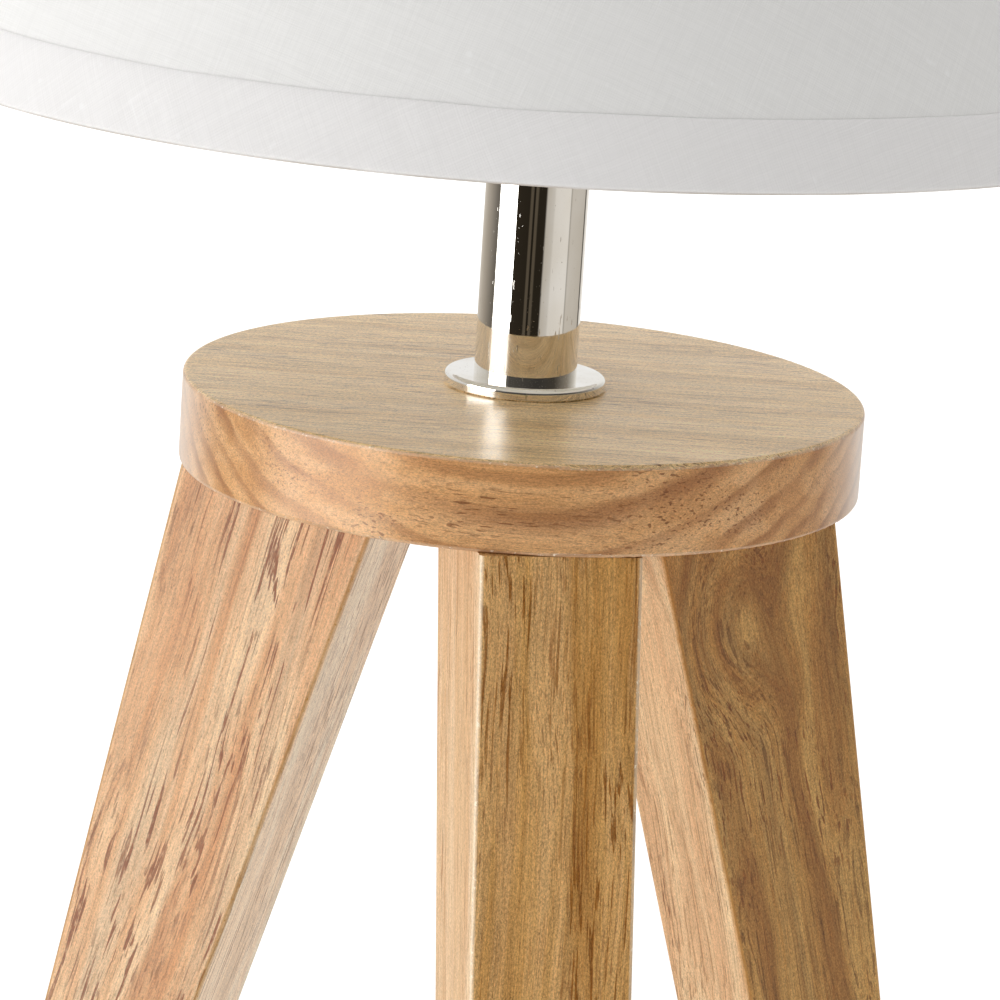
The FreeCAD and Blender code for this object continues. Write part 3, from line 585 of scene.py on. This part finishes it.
def woven(name, pale, shade, pitch, slub, relief, shaded_folds=()):
    """White cotton in a plain weave: threads of uneven thickness, slubs and a soft sheen.

    folds lists the heights of the rims where the cloth is folded over; a patchy brownish line painted
    there stands for the shade under the fold.
    """
    s = Shading(name, Sheen_Weight=0.25, Sheen_Roughness=0.5)
    cut = s.node("ShaderNodeAttribute", output="Vector", attribute_name="weave")
    wander = s.noise(s.map(cut, (0.06, 0.06, 1)), 1.0, 3.0)
    moved = s.node("ShaderNodeVectorMath", {0: cut, 1: wander}, operation="ADD")
    x, y, _ = s.split(moved)
    warp = s.math("SINE", s.math("MULTIPLY", x, math.pi / pitch))
    weft = s.math("SINE", s.math("MULTIPLY", y, math.pi / pitch))
    over = s.math("POWER", s.math("ABSOLUTE", s.math("MULTIPLY", warp, weft)), 0.6)
    warp_body = s.noise(s.map(moved, (1.5 / pitch, 0.05 / pitch, 1)), 1.0, 2.0, 0.6)
    weft_body = s.noise(s.map(moved, (0.04 / pitch, 1.5 / pitch, 1), (40, 9, 0)), 1.0, 2.0, 0.6)
    warp_slub = s.smooth(s.noise(s.map(moved, (0.8 / pitch, 0.10, 1), (5, 3, 0)), 1.0, 2.0), 0.66, 0.78)
    weft_slub = s.smooth(s.noise(s.map(moved, (0.09, 0.7 / pitch, 1), (2, 8, 0)), 1.0, 2.0), 0.68, 0.8)
    nub = s.smooth(s.noise(s.map(moved, (0.42, 0.42, 1), (71, 13, 0)), 1.0, 1.0), 0.74, 0.8)
    threads = s.math("ADD", s.math("MULTIPLY", warp_body, 0.5), s.math("MULTIPLY", weft_body, 0.5))
    slubs = s.math("MAXIMUM", s.math("MAXIMUM", warp_slub, weft_slub), nub)
    cloud = s.noise(s.map(cut, (0.02, 0.02, 1)), 1.0, 3.0)
    base = s.mix(s.smooth(threads, 0.32, 0.68), colour(shade), colour(pale))
    # Painted shade: the gaps between crossing threads are darkened.
    base = s.mix(s.smooth(over, 0.0, 0.7, 0.06, 0.0), base, colour(GAP_SHADE_COLOUR))
    base = s.mix(s.smooth(cloud, 0.35, 0.7, 0.0, 0.25), base, colour(shade))
    base = s.mix(s.math("MULTIPLY", slubs, 0.22), base, colour("ffffff"))
    # Painted shade: a patchy brownish line along each folded rim.
    for shaded_fold in shaded_folds:
        away = s.math("ABSOLUTE", s.math("SUBTRACT", s.split(s.place())[2], shaded_fold))
        line = s.smooth(s.math("DIVIDE", away, MM), 0.0, 0.55, 1.0, 0.0)
        patchy = s.smooth(s.noise(s.map(cut, (0.05, 0.05, 1), (3, 1, 0)), 1.0, 2.0), 0.3, 0.6, 0.3, 0.8)
        base = s.mix(s.math("MULTIPLY", line, patchy), base, colour(FOLD_SHADE_COLOUR))
    s.out("Base Color", base)
    s.out("Roughness", s.smooth(threads, 0.3, 0.7, 0.95, 0.82))
    height = s.math("ADD", s.math("MULTIPLY", over, 0.35), s.math("MULTIPLY", threads, 0.9))
    height = s.math("ADD", height, s.math("MULTIPLY", slubs, slub))
    s.out("Normal", s.bump(height, relief * MM, 0.3))
    return s.material


def make_fabric(material):
    """The shade's cover: one annular sector of cotton on its stiff liner."""
    outer_rows, inner_rows, thickness = 61, 13, 0.5 * MM
    share = np.concatenate([np.linspace(0, 1, outer_rows), np.linspace(1, 0, inner_rows)])
    depth = np.concatenate([np.zeros(outer_rows), np.full(inner_rows, thickness)])
    heights = SHADE_BOTTOM + share * (SHADE_TOP - SHADE_BOTTOM)
    slants = shade_radius(heights) / CONE_SINE

    def radius(angle):
        fade = np.sin(math.pi * share) ** 0.5
        wave = ripple(angle, heights[None, :], 11) * 0.03 * MM * fade
        return shade_radius(heights)[None, :] - depth[None, :] + wave

    def height(angle):
        return np.broadcast_to(heights, (len(angle), len(heights)))

    piece = cloth_ring("cotton_cover", radius, height, slants, FABRIC_LEAN, material)
    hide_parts("shade_fabric")
    return piece


def make_tape(name, node, edge, upward, seed, material, notched=False):
    """Bias tape folded over a rim, from the outside round the wire ring to the inside."""
    tape = 0.5 * MM
    gap = 0.1 * MM
    outside = 9.5 * MM
    inner_leg = 6.0 * MM
    wire_low, wire_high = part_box("lower_ring" if upward > 0 else "upper_ring")
    wire = (wire_high.z - wire_low.z) / 2
    inside = wire_high.x - 2 * wire - 0.2 * MM
    lean = min(-SHADE_SLOPE * (upward * inner_leg - upward * wire), 0.0)
    rim = shade_radius(edge)
    # Each point is (radius at the rim's own height, distance in from the rim in mm)
    outer = [(rim + gap / 2, 9.5), (rim + gap + 0.06 * MM, 9.5), (rim + gap + 0.22 * MM, 9.1)]
    outer += [(rim + gap + 0.40 * MM, 8.3)]
    outer += [(rim + gap + tape, up) for up in (7.2, 5.4, 3.8, 2.4, 1.4, 0.7)]
    outer += [(rim + gap + 0.46 * MM, 0.2), (rim + gap + 0.25 * MM, -0.2), (rim - 0.1 * MM, -0.42)]
    under = [(rim - 1.0 * MM, -0.5), ((rim + inside) / 2, -0.5), (inside + 0.3 * MM, -0.5)]
    leg = [(inside - 0.3 * MM, -0.3), (inside - tape, 0.1), (inside - tape, 1.2), (inside - tape, 2.4)]
    leg += [(inside - tape + lean / 2, 4.2), (inside - tape + lean, 5.7), (inside - 0.35 * MM + lean, 6.0)]
    leg += [(inside - 0.15 * MM + lean, 6.0), (inside + lean, 5.7), (inside + lean / 2, 4.2)]
    leg += [(inside, 2.4), (inside, 1.2), (inside, 0.2), (inside + 0.2 * MM, -0.02)]
    back = [((rim + inside) / 2, -0.02), (rim - 0.3 * MM, -0.02), (rim + gap, 0.05)]
    back += [(rim + gap, up) for up in (1.2, 3.0, 5.0, 7.0)]
    profile = outer + under + leg + back
    radii = np.array([point[0] for point in profile])
    ups = np.array([point[1] for point in profile]) * MM
    on_cone = np.zeros(len(profile), bool)
    on_cone[:len(outer)] = True
    on_cone[-4:] = True
    on_leg = np.zeros(len(profile), bool)
    on_leg[len(outer) + len(under):len(outer) + len(under) + len(leg)] = True
    bulging = np.zeros(len(profile))
    bulging[2:len(outer) - 1] = 1.0
    heights = edge + upward * ups
    cone_change = np.where(on_cone, -SHADE_SLOPE * (heights - edge), 0.0)
    path = np.concatenate([[0], np.cumsum(np.hypot(np.diff(radii), np.diff(ups)))])
    slants = rim / CONE_SINE - upward * (outside - path)

    def radius(angle):
        bulge = ripple(angle, heights[None, :], seed, 12, 90) * 0.06 * MM
        return (radii + cone_change)[None, :] + np.abs(bulge) * bulging[None, :]

    def height(angle):
        high_edge = np.clip((ups - 7.0 * MM) / (2.5 * MM), 0, 1) * on_cone
        wave = ripple(angle, np.zeros((1, 1)), seed + 1, 6, 26) * 0.07 * MM
        drop = np.zeros_like(angle)
        if notched:
            for arm in ARM_ANGLES:
                away = np.abs((angle - arm + math.pi) % (2 * math.pi) - math.pi) * inside
                drop = np.maximum(drop, np.clip(1.0 - (away - 1.6 * MM) / (1.0 * MM), 0, 1))
        legs = np.clip((ups - 1.5 * MM) / (4.5 * MM), 0, 1) * on_leg * 4.2 * MM
        return heights[None, :] + upward * (wave * high_edge[None, :] - drop * legs[None, :])

    piece = cloth_ring(name, radius, height, slants, FABRIC_LEAN + math.pi / 4, material)
    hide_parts(node)
    return piece


def make_seam(material):
    """The strip down the back where the cover's two ends lap."""
    low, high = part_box("shade_seam")
    half_width = (high.x - low.x) / 2
    across = np.array([-1, -0.97, -0.9, -0.6, -0.3, 0, 0.3, 0.6, 0.9, 0.97, 1])
    lift = np.array([0.12, 0.32, 0.44, 0.5, 0.5, 0.5, 0.5, 0.5, 0.44, 0.32, 0.12])
    profile_across = np.concatenate([across, across[::-1]])
    profile_lift = np.concatenate([lift, np.full(len(across), 0.1)]) * MM
    rows = len(profile_across)
    heights = np.linspace(low.z, high.z, 90)
    z = np.repeat(heights[:, None], rows, 1)
    edge_wave = ripple(heights[:, None] * 60, np.zeros((1, 1)), 31, 6, 9) * 0.12 * MM
    x = profile_across[None, :] * (half_width + edge_wave)
    r = shade_radius(z) + profile_lift[None, :]
    y = np.sqrt(r ** 2 - x ** 2)
    points = np.stack([x, y, z], -1).reshape(-1, 3)
    faces = grid_faces(len(heights), rows, closed_columns=False).tolist()
    piece = mesh_object("seam_strip", points, np.array(faces), material, "shade")
    close_ends(piece.data)
    places = np.empty(len(piece.data.loops), np.int32)
    piece.data.loops.foreach_get("vertex_index", places)
    flat = np.stack([points[:, 0], points[:, 2] * CONE_STRETCH, np.zeros(len(points))], -1) / MM
    attribute = piece.data.attributes.new("weave", "FLOAT_VECTOR", "CORNER")
    attribute.data.foreach_set("vector", flat[places].astype(np.float32).ravel())
    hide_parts("shade_seam")
    return piece


def close_ends(data):
    """Fills the open ends of a tube-like mesh."""
    shape = bmesh.new()
    shape.from_mesh(data)
    open_edges = [edge for edge in shape.edges if edge.is_boundary]
    bmesh.ops.holes_fill(shape, edges=open_edges, sides=0)
    bmesh.ops.recalc_face_normals(shape, faces=shape.faces)
    shape.to_mesh(data)
    shape.free()


def make_cloth():
    cotton = woven("white_cotton", "f2f1ef", "ebeae8", 0.33, 1.0, 0.035)
    shaded_rims = (SHADE_BOTTOM - 0.45 * MM, SHADE_TOP + 0.45 * MM)
    tape = woven("cotton_bias_tape", "f3f1f0", "edebea", 0.38, 0.3, 0.03, shaded_rims)
    cover = make_fabric(cotton)
    lower = make_tape("lower_bias_tape", "lower_hem", SHADE_BOTTOM, 1, 21, tape, notched=True)
    upper = make_tape("upper_bias_tape", "upper_hem", SHADE_TOP, -1, 25, tape)
    seam = make_seam(cotton)


# --- Felt pads --------------------------------------------------------------------------------------
def felt():
    s = Shading("felt", Roughness=0.95, Sheen_Weight=0.4)
    place = s.place_mm()
    fibre = s.noise(s.map(place, (3.0, 3.0, 3.0)), 1.0, 4.0, 0.7, 1.5)
    s.out("Base Color", s.mix(s.smooth(fibre, 0.35, 0.65), colour("b9b2a6"), colour("d4cec3")))
    s.out("Normal", s.bump(fibre, 0.0001, 0.8))
    return s.material


def make_pads():
    """A fuzzy felt disc under each leg."""
    points, faces = [], []
    columns = 72
    low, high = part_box("foot_pads")
    thick = high.z - low.z
    pads = mesh_points("foot_pads")
    for leg in LEGS:
        foot = leg_direction(leg)[2]
        near = pads[np.hypot(pads[:, 0] - foot.x, pads[:, 1] - foot.y) < 15 * MM]
        centre = (near.min(axis=0) + near.max(axis=0)) / 2
        size = (near[:, 0].max() - near[:, 0].min()) / 2
        profile = [(0.0, 0.0), (0.5, 0.0), (0.94, 0.0), (0.99, 0.08), (1.0, 0.3), (1.0, 0.6)]
        profile += [(0.99, 0.9), (0.95, 0.99), (0.5, 1.0), (0.0, 1.0)]
        start = len(points)
        for step in range(columns):
            angle = 2 * math.pi * step / columns
            for share, up in profile:
                fuzz = 1 - 0.012 * RANDOM.random()
                reach = size * share * fuzz
                x = centre[0] + reach * math.cos(angle)
                y = centre[1] + reach * math.sin(angle)
                points.append((x, y, low.z + thick * up))
        rows = len(profile)
        for step in range(columns):
            after = (step + 1) % columns
            for row in range(rows - 1):
                here, there = start + step * rows + row, start + after * rows + row
                faces.append([here, there, there + 1, here + 1])
    piece = mesh_object("felt_pads", np.array(points), np.array(faces), felt(), "stand")
    shape = bmesh.new()
    shape.from_mesh(piece.data)
    bmesh.ops.remove_doubles(shape, verts=shape.verts, dist=1e-6)
    bmesh.ops.recalc_face_normals(shape, faces=shape.faces)
    shape.to_mesh(piece.data)
    shape.free()
    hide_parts("foot_pads")


# --- Camera, floor and light ------------------------------------------------------------------------
def make_camera():
    data = bpy.data.cameras.new("camera")
    data.lens = CAMERA_LENS
    data.sensor_width = 36
    data.clip_start = 0.01
    data.clip_end = 50
    camera = bpy.data.objects.new("camera", data)
    bpy.context.collection.objects.link(camera)
    look = (CAMERA_AIM - CAMERA_PLACE).to_track_quat("-Z", "Y")
    camera.rotation_mode = "QUATERNION"
    camera.rotation_quaternion = look @ Matrix.Rotation(CAMERA_ROLL, 3, "Z").to_quaternion()
    camera.location = CAMERA_PLACE
    bpy.context.scene.camera = camera


def make_floor():
    data = bpy.data.meshes.new("floor")
    reach = FLOOR_REACH
    corners = [(-reach, -reach, 0), (reach, -reach, 0), (reach, reach, 0), (-reach, reach, 0)]
    data.from_pydata(corners, [], [(0, 1, 2, 3)])
    floor = bpy.data.objects.new("floor", data)
    bpy.context.collection.objects.link(floor)
    s = Shading("pale_floor", Roughness=0.9)
    cloud = s.noise(s.map(s.place(), (1.5, 1.5, 1.5)), 1.0, 3.0)
    s.out("Base Color", s.mix(s.smooth(cloud, 0.3, 0.7), colour("f4f4f3"), colour("eeeeed")))
    s.shader.inputs["Emission Color"].default_value = (1, 1, 1, 1)
    s.shader.inputs["Emission Strength"].default_value = FLOOR_GLOW
    data.materials.append(s.material)
    floor.visible_glossy = False


def ring_of_light(tree, azimuth_share, stops):
    """A colour ramp round the horizon. stops holds (degrees round from the camera, light, warmth)."""
    ramp = tree.nodes.new("ShaderNodeValToRGB")
    tree.links.new(azimuth_share, ramp.inputs[0])
    elements = ramp.color_ramp.elements
    while len(elements) < len(stops):
        elements.new(1.0)
    turned = math.degrees(CAMERA_AZIMUTH)
    placed = sorted(
        (((degrees + turned) / 360 + 0.5) % 1.0, light, warmth) for degrees, light, warmth in stops
    )
    for element, (position, light, warmth) in zip(elements, placed):
        element.position = position
        element.color = (light, light * (1 - 0.45 * warmth), light * (1 - warmth), 1)
    return ramp.outputs[0]


def make_world():
    """A studio: bright behind and at both sides, dark by the camera, a soft white ceiling above."""
    world = bpy.data.worlds.new("studio")
    world.use_nodes = True
    bpy.context.scene.world = world
    tree = world.node_tree
    add = tree.nodes.new
    link = tree.links.new
    split = add("ShaderNodeSeparateXYZ")
    link(add("ShaderNodeTexCoord").outputs["Generated"], split.inputs[0])
    back = add("ShaderNodeMath")
    back.operation = "MULTIPLY"
    back.inputs[1].default_value = -1
    link(split.outputs["Y"], back.inputs[0])
    angle = add("ShaderNodeMath")
    angle.operation = "ARCTAN2"
    link(split.outputs["X"], angle.inputs[0])
    link(back.outputs[0], angle.inputs[1])
    share = add("ShaderNodeMapRange")
    share.inputs[1].default_value = -math.pi
    share.inputs[2].default_value = math.pi
    link(angle.outputs[0], share.inputs[0])
    # Below the horizon: the table and whatever stands on it, as the chrome sees them
    low = ring_of_light(tree, share.outputs[0], [
        (-174, 1.0, 0.03), (-164, 0.66, 0.18), (-120, 0.36, 0.22), (-91, 0.14, 0.2), (-88, 0.5, 0.1),
        (-45, 0.5, 0.1), (-43, 0.028, 0.45), (-13, 0.022, 0.45), (-12, 0.10, 0.4), (-7, 0.10, 0.4),
        (-6, 0.015, 0.45), (-2, 0.015, 0.45), (-1, 0.10, 0.4), (4, 0.10, 0.4), (5, 0.022, 0.45),
        (22, 0.022, 0.45), (25, 0.52, 0.14), (40, 0.6, 0.1), (44, 0.72, 0.08), (82, 0.78, 0.08),
        (84, 0.35, 0.12), (88, 0.60, 0.12), (136, 0.55, 0.14), (139, 0.1, 0.2), (143, 0.1, 0.2),
        (147, 0.8, 0.08), (172, 1.0, 0.03),
    ])
    high = ring_of_light(tree, share.outputs[0], [
        (-170, 0.9, 0.0), (-100, 0.70, 0.0), (-60, 0.4, 0.02), (-35, 0.08, 0.1), (30, 0.04, 0.1),
        (70, 0.06, 0.2), (110, 0.28, 0.15), (160, 0.9, 0.0),
    ])
    rise = add("ShaderNodeMapRange")
    rise.interpolation_type = "SMOOTHSTEP"
    rise.inputs[1].default_value, rise.inputs[2].default_value = HORIZON_SPAN
    link(split.outputs["Z"], rise.inputs[0])
    walls = add("ShaderNodeMix")
    walls.data_type = "RGBA"
    link(rise.outputs[0], walls.inputs["Factor"])
    link(low, walls.inputs[6])
    link(high, walls.inputs[7])
    ceiling_share = add("ShaderNodeMapRange")
    ceiling_share.interpolation_type = "SMOOTHSTEP"
    ceiling_share.inputs[1].default_value, ceiling_share.inputs[2].default_value = CEILING_SPAN
    link(split.outputs["Z"], ceiling_share.inputs[0])
    whole = add("ShaderNodeMix")
    whole.data_type = "RGBA"
    link(ceiling_share.outputs[0], whole.inputs["Factor"])
    link(walls.outputs[2], whole.inputs[6])
    whole.inputs[7].default_value = (1.0, 1.0, 1.0, 1)
    surface = tree.nodes["Background"]
    link(whole.outputs[2], surface.inputs["Color"])
    surface.inputs["Strength"].default_value = 1.0


def soft_box(name, azimuth, distance, height, size, power, mirrored=False, lighting=True, down=False):
    """A soft box at an azimuth round from the camera, aimed level at the lamp's axis or straight down."""
    data = bpy.data.lights.new(name, "AREA")
    data.shape = "RECTANGLE"
    data.size, data.size_y = size
    data.energy = power
    light = bpy.data.objects.new(name, data)
    angle = CAMERA_AZIMUTH + math.radians(azimuth)
    light.location = (distance * math.sin(angle), -distance * math.cos(angle), height)
    if not down:
        aim = Vector((0, 0, height)) - light.location
        light.rotation_euler = aim.to_track_quat("-Z", "Y").to_euler()
    light.visible_glossy = mirrored
    light.visible_diffuse = lighting
    light.visible_camera = False
    bpy.context.collection.objects.link(light)


def make_lights():
    soft_box("strip_left", -65.0, 0.9, 0.30, (0.74, 1.2), 15.0, mirrored=True, lighting=False)
    soft_box("key_left", -76, 1.3, 0.20, (0.8, 0.6), 4.2)
    soft_box("front_fill", -48, 1.5, 0.15, (0.8, 0.5), 2.3)
    soft_box("back_overhead", 180, 1.5, 1.1, (2.6, 1.8), 13.0, down=True)


make_camera()
make_floor()
make_world()
make_lights()
make_wood()
dress_hard_parts()
make_cloth()
make_pads()

bpy.context.scene.view_settings.view_transform = "Standard"
